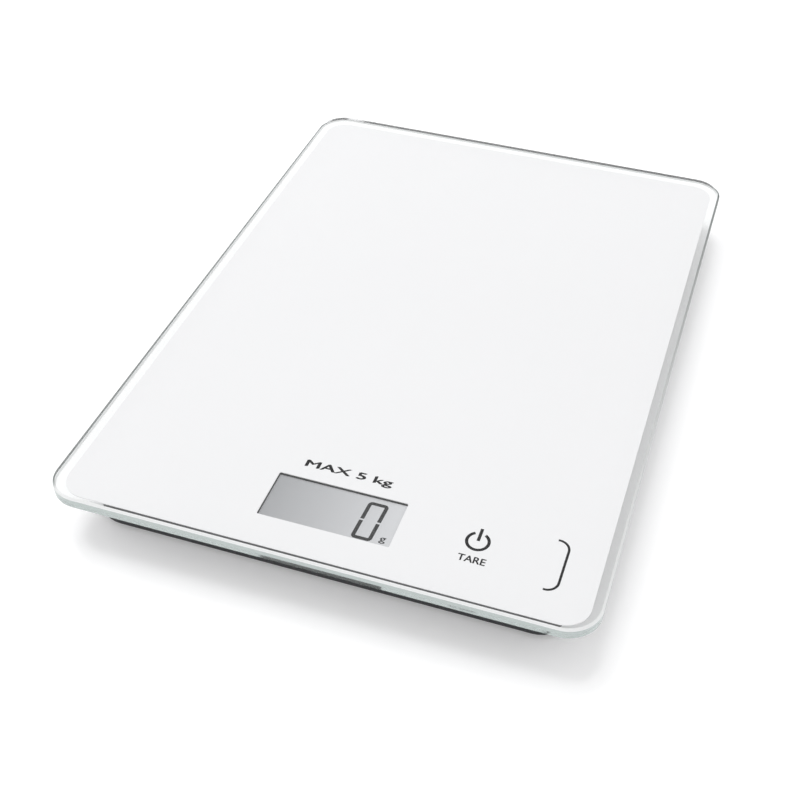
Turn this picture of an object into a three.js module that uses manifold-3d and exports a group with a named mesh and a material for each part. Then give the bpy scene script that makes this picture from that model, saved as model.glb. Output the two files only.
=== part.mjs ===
// Flat kitchen scale: a glass weighing plate on a slim plastic housing that stands on four feet.
// Millimetres, +Z up. The display edge faces -Y. The origin is on the table, under the middle of the plate.
// Each foot bears on the tongue of a strain-gauge load cell, which is clamped between the lower shell and the
// carrier glued under the glass. A hinged door in the floor of the shell covers three battery cells.
import * as THREE from "three";
import { mergeVertices } from "three/addons/utils/BufferGeometryUtils.js";
import Module from "manifold-3d";

const wasm = await Module();
wasm.setup();

// Clearances
const flatGap = 0.05; // between flat faces that are glued or clamped together
const sideGap = 0.3; // beside pieces that drop into a pocket
const slideGap = 0.4; // round pieces that travel
const overcut = 1; // how far a cut runs past the face it opens

// Glass plate and the printed film under it
const plateWidth = 160;
const plateLength = 225;
const plateThickness = 4;
const plateCorner = 10;
const plateArris = 0.65; // ground chamfer along both edges of the glass
const filmInset = 3.2; // clear border left round the print
const filmThickness = 0.2;
const windowWidth = 39.2; // clear window in the print, over the display
const windowLength = 17;
const keyFromWindow = 42.2; // middle of the window to the middle of the touch key
const keyBehindWindow = 1.4;

// Adhesive sheet, carrier and lower shell
const tapeThickness = 0.5;
const tapeInset = 2.5; // from the edge of the housing
const bodyInset = 9; // the housing stands back from the glass by this much
const bodyCorner = 9;
const bodyChamfer = 0.6;
const carrierThickness = 1.4;
const rimHeight = 1.6; // lip of the carrier that drops inside the shell
const rimThickness = 1.4;
const ribHeight = 2.4;
const ribThickness = 1.2;
const wallThickness = 1.8;
const floorThickness = 1.8;
const shellStandoff = 1.8; // table to the floor of the shell

// Battery compartment, cells and door
const cellDiameter = 10.5;
const cellLength = 44.5;
const cellNubDiameter = 3.6;
const cellNubHeight = 0.9;
const cellEdge = 0.5;
const cellSpacing = 0.6; // between neighbouring cells
const cellSideGap = 0.5;
const cellFloorGap = 0.3;
const cellHeadroom = 0.95; // over the cells, to the underside of the film
const bayCentreY = 42;
const bayWall = 2.2;
const doorThickness = 1.2;
const doorLedge = 1.4; // width of the ledge the door closes against
const doorEdgeGap = 0.25;
const doorCorner = 1.5;
const hookWidth = 8;
const hookReach = 1.35; // past the edge of the door's recess
const hookThickness = 0.9;
const hookOffset = 15; // middle of the door to a hook
const latchWidth = 9;
const latchThickness = 1.2;
const latchReach = 0.8;
const swingGap = 1.6; // room for the hooks to swing as the door opens
const ridgeWidth = 1;
const ridgeDepth = 0.3;
const fingerNotchRadius = 7;
const fingerNotchDepth = 0.9;
const contactThickness = 0.4;
const contactWidth = 8;
const contactWallGap = 0.2;
const springLength = 3.15; // compressed contact spring
const springWire = 0.7;
const springTurns = 2.5;
const springWide = 6.8; // diameter at the plate
const springNarrow = 4; // diameter at the cell

// Feet and load cells
const footDiameter = 22;
const footFlange = 2; // flange past the foot's skirt
const footFlangeThickness = 0.8;
const footEdge = 0.8;
const footStandoff = 0.6; // table to the rim of the foot, held off by the pad
const footDrop = 0.4; // travel down, until the flange meets the floor of the shell
const padDiameter = 17;
const padSeat = 1.2; // depth of the seat for the pad
const padEdge = 0.3;
const plungerDiameter = 6;
const sensorThickness = 1.5;
const sensorMargin = 2; // frame of the load cell past the foot's flange, each side
const sensorBar = 4; // width of the frame's bars
const sensorSlot = 2;
const sensorTongue = 9;
const sensorStandoff = 2.7; // floor of the shell to the load cell
const gaugeWidth = 5;
const gaugeLength = 3.5;
const gaugeThickness = 0.4;
const sensorPost = 3.4;
const sensorPostInset = 2.7;
const retainerBar = 3.5;
const gateHeight = 2.6; // opening in the retainer for the cable
const gateFromBar = 3;

// Display, board and keys
const displayRecess = 0.4; // underside of the film to the display
const displaySideBorder = 3.4; // display past the window
const displayBorder = 1.4;
const displayLedge = 3.2; // contact ledge on the upper glass
const displaySheet = 1.3; // each of the two glasses
const holderWall = 0.9;
const holderShelf = 3;
const zebraHeight = 4.4;
const zebraWidth = 2.4;
const boardThickness = 1.2;
const boardBesideHolder = 7.8; // board past the display holder, each side
const boardBehindHolder = 1.8;
const boardFromWall = 0.5;
const boardPost = 5;
const chipDiameter = 11;
const chipHeight = 1.1;
const switchSize = 6;
const switchHeight = 1.6;
const switchStem = 3; // diameter of the stem
const switchStroke = 0.3;
const switchStemOut = 0.45; // stem past the switch body
const switchStemIn = 0.5;
const buttonDiameter = 7.6;
const buttonFlange = 1.2;
const buttonFlangeThickness = 0.6;
const buttonFromEdge = 6; // rear edge of the board to the middle of the button
const buttonFromSide = 12;
const buttonRecess = 0.2;
const electrodeLength = 14;
const electrodeThickness = 0.2;
const touchSpringDiameter = 4;
const touchSpringWire = 0.6;
const touchSpringTurns = 3;
const touchSpringFromSide = 2.5; // edge of the board to the axis of the spring

// Screws, bosses and wires
const screwShank = 2.4;
const screwHead = 4.8;
const screwHeadHeight = 1.7;
const screwRecess = 0.5; // head below the outside of the shell
const bossDiameter = 8;
const bossSeat = 1.6; // plastic between the head and the end of the boss's hole
const postDiameter = 6.4;
const postHeight = 3.6;
const sideScrewY = 35;
const frontScrewFromBoard = 7;
const boardScrewShank = 1.8;
const boardScrewHead = 3.4;
const boardScrewHeadHeight = 1.1;
const boardScrewTip = 0.3; // above the floor of the shell
const cableDiameter = 1.8;
const leadDiameter = 1.2;
const leadLaneShare = 0.23; // of the way from the compartment to the load cells
const cableLaneShare = 0.7;
const wireStraight = 4; // flat stretch of a wire before it climbs to the board
const leadDrop = 1.2; // top of the compartment's wall to the lead that crosses it
const wireFloorGap = 0.6;
const cableOverBoard = 0.15; // under a cable that crosses the board's edge
const jointGap = 0.3; // end of a wire to the edge of the board it is soldered to

// Levels, from the table up
const shellBottom = shellStandoff;
const floorTop = shellBottom + floorThickness;
const doorTop = shellBottom + doorThickness;
const cellAxis = doorTop + cellFloorGap + cellDiameter / 2;
const filmBottom = cellAxis + cellDiameter / 2 + cellHeadroom;
const plateBottom = filmBottom + filmThickness + flatGap;
const plateTop = plateBottom + plateThickness;
const tapeTop = filmBottom - flatGap;
const tapeBottom = tapeTop - tapeThickness;
const carrierTop = tapeBottom - flatGap;
const carrierBottom = carrierTop - carrierThickness;
const wallTop = carrierBottom - flatGap;
const sensorBottom = floorTop + sensorStandoff;
const sensorTop = sensorBottom + sensorThickness;
const displayTop = filmBottom - displayRecess;
const displayBottom = displayTop - 2 * displaySheet;
const boardTop = displayTop - displaySheet - flatGap - zebraHeight - flatGap;
const boardBottom = boardTop - boardThickness;
const boardMiddle = boardTop - boardThickness / 2;
const switchBottom = boardBottom - flatGap - switchHeight;
const cableLevel = sensorTop + flatGap + gateHeight / 2;
const leadLevel = wallTop - leadDrop;

// Plan sizes
const bodyWidth = plateWidth - 2 * bodyInset;
const bodyLength = plateLength - 2 * bodyInset;
const flangeRadius = footDiameter / 2 + footFlange;
const sensorWidth = 2 * (flangeRadius + sensorMargin);
const sensorLength = 2 * flangeRadius;
const rimInset = wallThickness + sideGap + rimThickness;
const sensorCorner = bodyCorner - rimInset - sideGap; // follows the corner of the rim
const cableGateY = sensorLength / 2 - sensorBar - gateFromBar;
const footX = bodyWidth / 2 - rimInset - sideGap - sensorWidth / 2;
const footY = bodyLength / 2 - rimInset - sideGap - sensorLength / 2;
const gateX = footX - sensorWidth / 2;
const cellPitch = cellDiameter + cellSpacing;
const bayHalfWidth = (cellLength + springLength) / 2 + flatGap + contactThickness + contactWallGap;
const bayHalfLength = cellPitch + cellDiameter / 2 + cellSideGap;
const bayFront = bayCentreY - bayHalfLength;
const bayRear = bayCentreY + bayHalfLength;
const bayOuterX = bayHalfWidth + bayWall;
const leadLane = bayOuterX + leadLaneShare * (gateX - bayOuterX);
const cableLane = bayOuterX + cableLaneShare * (gateX - bayOuterX);
const recessHalfWidth = bayHalfWidth + doorLedge;
const recessFront = bayFront - doorLedge;
const recessRear = bayRear + doorLedge;
const displayWidth = windowWidth + 2 * displaySideBorder;
const displayLength = windowLength + 2 * displayBorder + displayLedge;
const holderWidth = displayWidth + 2 * (sideGap + holderWall);
const holderLength = displayLength + 2 * (sideGap + holderWall);
const holderFront = -bodyLength / 2 + wallThickness + sideGap;
const displayY = holderFront + holderLength / 2;
const windowY = displayY - displayLedge / 2;
const keyX = keyFromWindow;
const keyY = windowY + keyBehindWindow;
const boardWidth = holderWidth + 2 * boardBesideHolder;
const boardRear = holderFront + holderLength + boardBehindHolder;
const boardLength = boardRear - (-bodyLength / 2 + wallThickness + boardFromWall);
const boardY = boardRear - boardLength / 2;
const touchSpringX = boardWidth / 2 - touchSpringFromSide;
const buttonX = boardWidth / 2 - buttonFromSide;
const buttonY = boardRear - buttonFromEdge;
const corners = [
  ["front_left", -1, -1],
  ["front_right", 1, -1],
  ["rear_left", -1, 1],
  ["rear_right", 1, 1],
];
const sideScrewX = bodyWidth / 2 - rimInset - sideGap - bossDiameter / 2;
const frontScrewY = boardRear + frontScrewFromBoard;
const rearScrewY = bodyLength / 2 - rimInset - sideGap - bossDiameter / 2;
const housingScrews = [
  [-sideScrewX, -sideScrewY],
  [sideScrewX, -sideScrewY],
  [-sideScrewX, sideScrewY],
  [sideScrewX, sideScrewY],
  [0, frontScrewY],
  [0, rearScrewY],
];
const boardScrews = [
  [-boardWidth / 2 + boardPost / 2, boardRear - boardPost / 2],
  [boardWidth / 2 - boardPost / 2, boardRear - boardPost / 2],
];
const boardPosts = [
  ...boardScrews,
  ...boardScrews.map(([x, y]) => [x, y - boardLength + boardPost]),
];

// Geometry to solid and back
function solid(geometry) {
  const bare = geometry.clone();
  bare.deleteAttribute("normal");
  bare.deleteAttribute("uv");
  const merged = mergeVertices(bare, 1e-4);
  return new wasm.Manifold(
    new wasm.Mesh({
      numProp: 3,
      vertProperties: new Float32Array(merged.attributes.position.array),
      triVerts: new Uint32Array(merged.index.array),
    }),
  );
}

function geometryOf(made) {
  const mesh = made.getMesh();
  const geometry = new THREE.BufferGeometry();
  geometry.setAttribute("position", new THREE.BufferAttribute(new Float32Array(mesh.vertProperties), 3));
  geometry.setIndex(new THREE.BufferAttribute(new Uint32Array(mesh.triVerts), 1));
  geometry.computeVertexNormals();
  return geometry;
}

// Building blocks. Each takes plan sizes first, then the two levels it runs between.
const around = (middle, size) => [middle - size / 2, middle + size / 2];
const union = (first, ...rest) => rest.reduce((sum, piece) => sum.add(piece), first);
const without = (first, ...cuts) => cuts.reduce((left, cut) => left.subtract(cut), first);

function roundedOutline(width, length, corner) {
  const x = width / 2 - corner;
  const y = length / 2 - corner;
  const shape = new THREE.Shape();
  shape.absarc(x, y, corner, 0, Math.PI / 2);
  shape.absarc(-x, y, corner, Math.PI / 2, Math.PI);
  shape.absarc(-x, -y, corner, Math.PI, 1.5 * Math.PI);
  shape.absarc(x, -y, corner, 1.5 * Math.PI, 2 * Math.PI);
  shape.closePath();
  return shape;
}

function slab(width, length, corner, low, high, x = 0, y = 0, arcSteps = 4) {
  const geometry = new THREE.ExtrudeGeometry(roundedOutline(width, length, corner), {
    depth: high - low,
    bevelEnabled: false,
    curveSegments: arcSteps,
  });
  return solid(geometry.translate(x, y, low));
}

function chamferedSlab(width, length, corner, low, high, chamfer, arcSteps = 4) {
  const geometry = new THREE.ExtrudeGeometry(roundedOutline(width, length, corner), {
    depth: high - low - 2 * chamfer,
    bevelThickness: chamfer,
    bevelSize: chamfer,
    bevelOffset: -chamfer,
    bevelSegments: 1,
    curveSegments: arcSteps,
  });
  return solid(geometry.translate(0, 0, low + chamfer));
}

// The housing's own outline, drawn in by an inset.
function bodySlab(inset, low, high) {
  return slab(bodyWidth - 2 * inset, bodyLength - 2 * inset, bodyCorner - inset, low, high);
}

function box(x0, x1, y0, y1, low, high) {
  const geometry = new THREE.BoxGeometry(x1 - x0, y1 - y0, high - low);
  return solid(geometry.translate((x0 + x1) / 2, (y0 + y1) / 2, (low + high) / 2));
}

function disc(x, y, radius, low, high, sides = 12) {
  const geometry = new THREE.CylinderGeometry(radius, radius, high - low, sides);
  return solid(geometry.rotateX(Math.PI / 2).translate(x, y, (low + high) / 2));
}

// A turned piece from [radius, height] pairs that run from the axis at the bottom to the axis at the top.
function turned(profile, sides = 20) {
  const points = profile.map(([radius, height]) => new THREE.Vector2(radius, height));
  return solid(new THREE.LatheGeometry(points, sides).rotateX(Math.PI / 2));
}

function tube(curve, diameter, steps, sides = 8) {
  const section = new THREE.Shape();
  section.absarc(0, 0, diameter / 2, 0, 2 * Math.PI);
  return new THREE.ExtrudeGeometry(section, { steps, extrudePath: curve, curveSegments: sides / 2 });
}

// A wire through a list of points, with a step every few diameters.
function wire(points, diameter) {
  const path = points.map((point) => new THREE.Vector3(...point));
  const curve = new THREE.CatmullRomCurve3(path, false, "centripetal");
  return solid(tube(curve, diameter, Math.round(curve.getLength() / (2.8 * diameter))));
}

class Coil extends THREE.Curve {
  constructor(startDiameter, endDiameter, height, turns) {
    super();
    Object.assign(this, { startDiameter, endDiameter, height, turns });
  }
  getPoint(t, target = new THREE.Vector3()) {
    const angle = 2 * Math.PI * this.turns * t;
    const radius = THREE.MathUtils.lerp(this.startDiameter, this.endDiameter, t) / 2;
    return target.set(radius * Math.cos(angle), radius * Math.sin(angle), this.height * t);
  }
}

// Plate, print and tape
function glassPlate() {
  return chamferedSlab(plateWidth, plateLength, plateCorner, plateBottom, plateTop, plateArris, 6);
}

function decorFilm() {
  const width = plateWidth - 2 * filmInset;
  const length = plateLength - 2 * filmInset;
  const sheet = slab(width, length, plateCorner - filmInset, filmBottom, filmBottom + filmThickness);
  const across = around(0, windowWidth);
  const along = around(windowY, windowLength);
  return sheet.subtract(box(...across, ...along, filmBottom - overcut, plateBottom + overcut));
}

// The openings over the cells and over the display pass through both the tape and the carrier.
function bayCut(low, high) {
  return box(-bayHalfWidth, bayHalfWidth, bayFront, bayRear, low, high);
}

function displayCut(low, high) {
  const across = around(0, holderWidth + 2 * sideGap);
  return box(...across, ...around(displayY, holderLength + 2 * sideGap), low, high);
}

// The foil runs from over the contact spring to the far side of the touch key.
const electrodeLeft = touchSpringX - touchSpringDiameter / 2 - touchSpringWire;
const electrodeRight = keyX + electrodeLength / 2;

function touchElectrode() {
  const width = electrodeRight - electrodeLeft;
  const middle = (electrodeLeft + electrodeRight) / 2;
  const low = tapeTop - electrodeThickness;
  return slab(width, electrodeLength, electrodeLength / 4, low, tapeTop, middle, keyY, 3);
}

function adhesiveSheet() {
  const low = tapeBottom - overcut;
  const high = tapeTop + overcut;
  const keyLength = around(keyY, electrodeLength + 2 * sideGap);
  const keyCut = box(electrodeLeft - sideGap, electrodeRight + sideGap, ...keyLength, low, high);
  return without(bodySlab(tapeInset, tapeBottom, tapeTop), bayCut(low, high), displayCut(low, high), keyCut);
}

// Carrier: a flat plate with a rim that drops inside the shell, screw posts and two cross ribs
function carrierPlate() {
  const middle = carrierBottom + carrierThickness / 2;
  const postLow = carrierBottom - postHeight;
  const rimLow = carrierBottom - rimHeight;
  const rimBlock = bodySlab(wallThickness + sideGap, rimLow, middle);
  const rim = rimBlock.subtract(bodySlab(rimInset, rimLow - overcut, middle + overcut));
  const posts = housingScrews.map(([x, y]) => disc(x, y, postDiameter / 2, postLow, middle));
  const pilots = housingScrews.map(([x, y]) =>
    disc(x, y, screwShank / 2 + flatGap, postLow - overcut, carrierBottom + flatGap),
  );
  const ribEnd = bodyWidth / 2 - rimInset + rimThickness / 2;
  const frontRib = (-footY + sensorLength / 2 - sideScrewY) / 2;
  const rearRib = (bayFront - bayWall - sideScrewY) / 2;
  const ribs = [frontRib, rearRib].map((y) =>
    box(-ribEnd, ribEnd, ...around(y, ribThickness), carrierBottom - ribHeight, middle),
  );
  const cuts = [rimLow - overcut, carrierTop + overcut];
  const springHole = disc(touchSpringX, keyY, touchSpringDiameter / 2 + slideGap, ...cuts);
  return without(
    union(bodySlab(0, carrierBottom, carrierTop), rim, ...posts, ...ribs),
    ...pilots,
    bayCut(...cuts),
    displayCut(...cuts),
    springHole,
  );
}

// Lower shell
function shellTray() {
  const blockTop = wallTop + bodyChamfer;
  const block = chamferedSlab(bodyWidth, bodyLength, bodyCorner, shellBottom, blockTop, bodyChamfer);
  const trim = box(...around(0, plateWidth), ...around(0, plateLength), wallTop, blockTop + overcut);
  return without(block, trim, bodySlab(wallThickness, floorTop, wallTop + overcut));
}

function shellPosts() {
  const root = floorTop - floorThickness / 2;
  const sensorPosts = corners.flatMap(([, sx, sy]) =>
    corners.map(([, px, py]) => {
      const x = sx * footX + px * (sensorWidth / 2 - sensorPostInset);
      const y = sy * footY + py * (sensorLength / 2 - sensorPostInset);
      return disc(x, y, sensorPost / 2, root, sensorBottom - flatGap, 8);
    }),
  );
  const standoffs = boardPosts.map(([x, y]) => disc(x, y, boardPost / 2, root, boardBottom - flatGap));
  const bossTop = carrierBottom - postHeight - flatGap;
  const bosses = housingScrews.map(([x, y]) => disc(x, y, bossDiameter / 2, root, bossTop, 16));
  return [...sensorPosts, ...standoffs, ...bosses];
}

function shellHoles() {
  const under = shellBottom - overcut;
  const headSeat = shellBottom + screwRecess + screwHeadHeight + flatGap;
  const postSeat = headSeat + bossSeat;
  const feet = corners.map(([, sx, sy]) =>
    disc(sx * footX, sy * footY, footDiameter / 2 + slideGap, under, floorTop + overcut, 24),
  );
  const screws = housingScrews.flatMap(([x, y]) => [
    disc(x, y, screwHead / 2 + sideGap, under, headSeat, 16),
    disc(x, y, screwShank / 2 + sideGap, headSeat - flatGap, postSeat),
    disc(x, y, screwShank / 2 + 2 * sideGap, postSeat - flatGap, carrierBottom),
  ]);
  const pilots = boardScrews.map(([x, y]) =>
    disc(x, y, boardScrewShank / 2 + flatGap, floorTop, boardBottom + overcut),
  );
  const button = disc(buttonX, buttonY, buttonDiameter / 2 + slideGap, under, floorTop + overcut, 20);
  return [...feet, ...screws, ...pilots, button];
}

// A lead crosses the wall of the compartment by the front cell on the left, and by the rear one on the right.
function leadNotch(side) {
  const along = around(bayCentreY + side * cellPitch, leadDiameter + 4 * sideGap);
  const across = around(side * (bayHalfWidth + bayWall / 2), bayWall + 2 * overcut);
  return box(...across, ...along, wallTop - 2 * leadDrop, wallTop + overcut);
}

// Slots for the door's hooks and latch, its recess, and the notch for a fingertip
function doorCuts() {
  const under = shellBottom - overcut;
  const hookTop = floorTop + hookThickness + swingGap;
  const hooks = [-hookOffset, hookOffset].flatMap((x) => {
    const across = around(x, hookWidth + 2 * sideGap);
    return [
      box(...across, bayRear - overcut, recessRear, shellBottom, hookTop),
      box(...across, bayRear - overcut, bayRear + bayWall + overcut, floorTop, hookTop),
    ];
  });
  const latchAcross = around(0, latchWidth + 2 * sideGap);
  const latchTop = floorTop + latchThickness + overcut;
  return [
    ...hooks,
    box(...latchAcross, recessFront - latchReach, bayFront + overcut, under, latchTop),
    box(-recessHalfWidth, recessHalfWidth, recessFront, recessRear, under, doorTop + flatGap),
    disc(0, recessFront, fingerNotchRadius, under, shellBottom + fingerNotchDepth, 20),
  ];
}

function lowerShell() {
  const across = around(0, 2 * bayOuterX);
  const compartment = box(...across, bayFront - bayWall, bayRear + bayWall, doorTop + flatGap, wallTop);
  return without(
    union(shellTray(), compartment, ...shellPosts()),
    bayCut(shellBottom - overcut, wallTop + overcut),
    ...doorCuts(),
    leadNotch(-1),
    leadNotch(1),
    ...shellHoles(),
  );
}

// A panel with two hooks that lie over the floor behind it, and a latch at its front edge
function batteryDoor() {
  const front = recessFront + doorEdgeGap;
  const rear = recessRear - doorEdgeGap;
  const width = 2 * (recessHalfWidth - doorEdgeGap);
  const panel = slab(width, rear - front, doorCorner, shellBottom, doorTop, 0, bayCentreY, 3);
  const root = doorTop - doorThickness / 2;
  const hookRear = bayRear - doorEdgeGap;
  const hookLow = floorTop + sideGap / 2;
  const hookHigh = hookLow + hookThickness;
  const hooks = [-hookOffset, hookOffset].flatMap((x) => {
    const across = around(x, hookWidth);
    return [
      box(...across, hookRear - latchThickness, hookRear, root, hookHigh),
      box(...across, hookRear - latchThickness / 2, recessRear + hookReach, hookLow, hookHigh),
    ];
  });
  const latchAcross = around(0, latchWidth);
  const latchRear = bayFront + doorEdgeGap + latchThickness;
  const latchHigh = floorTop + latchThickness;
  const latch = [
    box(...latchAcross, latchRear - latchThickness, latchRear, root, latchHigh),
    box(...latchAcross, recessFront, latchRear - latchThickness / 2, floorTop, latchHigh),
  ];
  const grooveAcross = around(0, 2 * fingerNotchRadius);
  const grooves = [1, 2, 3].map((index) => {
    const along = around(front + (2 * index + 0.5) * ridgeWidth, ridgeWidth);
    return box(...grooveAcross, ...along, shellBottom - overcut, shellBottom + ridgeDepth);
  });
  return without(union(panel, ...hooks, ...latch), ...grooves);
}

// Cells lie along X and are counted 1 to 3 from the front. towards is -1 where the positive end points to -X.
const cellY = (index) => bayCentreY + (index - 2) * cellPitch;

function batteryCell(index, towards) {
  const radius = cellDiameter / 2;
  const shoulder = cellLength - cellNubHeight;
  const cell = turned([
    [0, 0],
    [radius - cellEdge, 0],
    [radius, cellEdge],
    [radius, shoulder - cellEdge],
    [radius - cellEdge, shoulder],
    [cellNubDiameter / 2, shoulder],
    [cellNubDiameter / 2, cellLength],
    [0, cellLength],
  ]);
  const positiveEnd = bayHalfWidth - contactWallGap - contactThickness - flatGap;
  const base = towards * (positiveEnd - cellLength);
  return cell.rotate([0, towards * 90, 0]).translate([base, cellY(index), cellAxis]);
}

// A plate against one end wall that touches the cells from firstCell to lastCell.
function contactPlate(side, firstCell, lastCell) {
  const across = around(side * (bayHalfWidth - contactWallGap - contactThickness / 2), contactThickness);
  const front = cellY(firstCell) - contactWidth / 2;
  const rear = cellY(lastCell) + contactWidth / 2;
  return box(...across, front, rear, ...around(cellAxis, contactWidth));
}

// The coil on a plate that presses the negative end of one cell.
function contactSpring(side, cell) {
  const start = bayHalfWidth - contactWallGap - contactThickness / 2;
  const reach = springLength - flatGap - springWire / 2 + contactThickness / 2;
  const coil = tube(new Coil(springWide, springNarrow, reach, springTurns), springWire, 24, 6);
  return solid(coil).rotate([0, -side * 90, 0]).translate([side * start, cellY(cell), cellAxis]);
}

// Foot, pad, load cell and retainer, each about its own foot's axis
function foot() {
  const radius = footDiameter / 2;
  const flangeBottom = floorTop + footDrop + flatGap;
  const flangeTop = flangeBottom + footFlangeThickness;
  const seatTop = footStandoff + padSeat;
  const seatRadius = padDiameter / 2 + sideGap / 2;
  return turned([
    [0, seatTop],
    [seatRadius, seatTop],
    [seatRadius, footStandoff],
    [radius - footEdge, footStandoff],
    [radius, footStandoff + footEdge],
    [radius, flangeBottom],
    [flangeRadius, flangeBottom],
    [flangeRadius, flangeTop],
    [plungerDiameter / 2, flangeTop],
    [plungerDiameter / 2, sensorBottom - flatGap],
    [0, sensorBottom - flatGap],
  ]);
}

function footPad() {
  const radius = padDiameter / 2;
  const top = footStandoff + padSeat - flatGap;
  return turned([
    [0, 0],
    [radius - padEdge, 0],
    [radius, padEdge],
    [radius, top],
    [0, top],
  ]);
}

// A U-shaped slot frees the tongue, which joins the frame only at the rear bar.
function loadCell() {
  const frame = slab(sensorWidth, sensorLength, sensorCorner, sensorBottom, sensorTop, 0, 0, 3);
  const front = -sensorLength / 2 + sensorBar;
  const rear = sensorLength / 2 - 1.25 * sensorBar;
  const levels = [sensorBottom - overcut, sensorTop + overcut];
  const slots = [-1, 1].map((side) => {
    const across = around((side * (sensorTongue + sensorSlot)) / 2, sensorSlot);
    return box(...across, front, rear, ...levels);
  });
  const tip = box(...around(0, sensorTongue + 2 * sensorSlot), front, front + sensorSlot, ...levels);
  const gaugeLow = sensorTop - sensorThickness / 2;
  const gauge = box(...around(0, gaugeWidth), rear - gaugeLength, rear, gaugeLow, sensorTop + gaugeThickness);
  return without(frame, ...slots, tip).add(gauge);
}

// Clamps the frame of a load cell against the carrier. The cable leaves on the side named by inward.
function loadCellRetainer(inward) {
  const low = sensorTop + flatGap;
  const block = slab(sensorWidth, sensorLength, sensorCorner, low, wallTop, 0, 0, 3);
  const across = around(0, sensorWidth - 2 * retainerBar);
  const along = around(0, sensorLength - 2 * retainerBar);
  const well = box(...across, ...along, low - overcut, wallTop + overcut);
  const gateAcross = around((inward * sensorWidth) / 2, sensorWidth);
  const gateAlong = around(cableGateY, cableDiameter + 4 * sideGap);
  return without(block, well, box(...gateAcross, ...gateAlong, low - overcut, low + gateHeight));
}

// A cable runs from inside its retainer, down to the floor and along it to the rear edge of the board.
function frontCable(side) {
  const startY = -footY + cableGateY;
  const cornerY = Math.max(startY + 6, boardRear - 0.5); // clear of the load cell and of the board's corner
  const bendX = gateX - 2.5;
  // with wide feet the gate comes over the board, and the cable then stays above the board's edge
  const overBoard = bendX < boardWidth / 2 + cableDiameter;
  const liftedLevel = boardTop + cableDiameter / 2 + cableOverBoard;
  return wire(
    [
      [side * (gateX + sensorBar + 0.5), startY, cableLevel],
      [side * bendX, startY, overBoard ? liftedLevel : cableLevel],
      [side * (boardWidth / 2 + 1.6), cornerY, overBoard ? liftedLevel : cableLevel - 1],
      [side * (boardWidth / 2 - 3), boardRear + 6, boardTop],
      [side * (boardWidth / 2 - 6), boardRear + 3.5, boardMiddle],
      [side * (boardWidth / 2 - 6), boardRear + jointGap, boardMiddle],
    ],
    cableDiameter,
  );
}

function rearCable(side) {
  const startY = footY + cableGateY;
  const floorLevel = floorTop + cableDiameter / 2 + wireFloorGap;
  return wire(
    [
      [side * (gateX + sensorBar + 0.5), startY, cableLevel],
      [side * (gateX - 2.5), startY, cableLevel],
      [side * cableLane, startY - 8, floorLevel + 1],
      [side * cableLane, startY - 22, floorLevel],
      [side * cableLane, bayCentreY, floorLevel],
      [side * cableLane, 0, floorLevel],
      [side * cableLane, boardRear + 22 + wireStraight, floorLevel],
      [side * cableLane, boardRear + 22, floorLevel],
      [side * (boardWidth / 2 - 9), boardRear + 11, floorLevel + 1],
      [side * (boardWidth / 2 - 9), boardRear + 3.5, boardMiddle],
      [side * (boardWidth / 2 - 9), boardRear + jointGap, boardMiddle],
    ],
    cableDiameter,
  );
}

function batteryLead(side) {
  const notchY = bayCentreY + side * cellPitch;
  const floorLevel = floorTop + leadDiameter / 2 + wireFloorGap;
  return wire(
    [
      [side * (bayHalfWidth - contactWallGap / 4), notchY, leadLevel],
      [side * (bayOuterX + 0.8), notchY, leadLevel],
      [side * leadLane, notchY - 2.4, leadLevel - 1.6],
      [side * leadLane, notchY - 7, floorLevel + 1.6],
      [side * leadLane, notchY - 12, floorLevel],
      [side * leadLane, bayFront - 8, floorLevel],
      [side * 16, 0, floorLevel],
      [side * 12, boardRear + 14 + wireStraight, floorLevel],
      [side * 12, boardRear + 14, floorLevel],
      [side * 12, boardRear + 5, boardMiddle - 1],
      [side * 12, boardRear + jointGap, boardMiddle],
    ],
    leadDiameter,
  );
}

// Screws
function crossRecess(span, low, high) {
  const arm = span / 5;
  const along = box(...around(0, span), ...around(0, arm), low, high);
  return along.add(box(...around(0, arm), ...around(0, span), low, high));
}

// Driven up from below, head down.
function housingScrew() {
  const headLow = shellBottom + screwRecess;
  const headTop = headLow + screwHeadHeight;
  const tip = carrierBottom - screwRecess;
  const profile = [
    [0, headLow],
    [screwHead / 2 - 0.5, headLow],
    [screwHead / 2, headLow + 0.6],
    [screwHead / 2, headTop],
    [screwShank / 2, headTop],
    [screwShank / 2, tip - 1],
    [0, tip],
  ];
  const recess = crossRecess(screwHead * 0.6, headLow - overcut, headLow + screwHeadHeight * 0.55);
  return turned(profile, 12).subtract(recess);
}

// Driven down through the board into a standoff.
function boardScrew() {
  const headLow = boardTop + flatGap;
  const headTop = headLow + boardScrewHeadHeight;
  const tip = floorTop + boardScrewTip;
  const profile = [
    [0, tip],
    [boardScrewShank / 2, tip + 0.6],
    [boardScrewShank / 2, headLow],
    [boardScrewHead / 2, headLow],
    [boardScrewHead / 2, headTop - 0.4],
    [boardScrewHead / 2 - 0.4, headTop],
    [0, headTop],
  ];
  const recess = crossRecess(boardScrewHead * 0.6, headTop - boardScrewHeadHeight / 2, headTop + overcut);
  return turned(profile, 12).subtract(recess);
}

// Board, controller, switch and button
function circuitBoard() {
  const board = slab(boardWidth, boardLength, 1, boardBottom, boardTop, 0, boardY, 2);
  const holes = boardScrews.map(([x, y]) =>
    disc(x, y, (boardScrewShank + sideGap) / 2, boardBottom - overcut, boardTop + overcut),
  );
  return without(board, ...holes);
}

function controllerChip() {
  const radius = chipDiameter / 2;
  const high = boardBottom - flatGap;
  const dome = turned([
    [0, high - chipHeight],
    [radius * 0.6, high - chipHeight * 0.85],
    [radius * 0.9, high - chipHeight * 0.5],
    [radius, high],
    [0, high],
  ]);
  return dome.translate([-boardWidth / 4, boardY, 0]);
}

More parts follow.
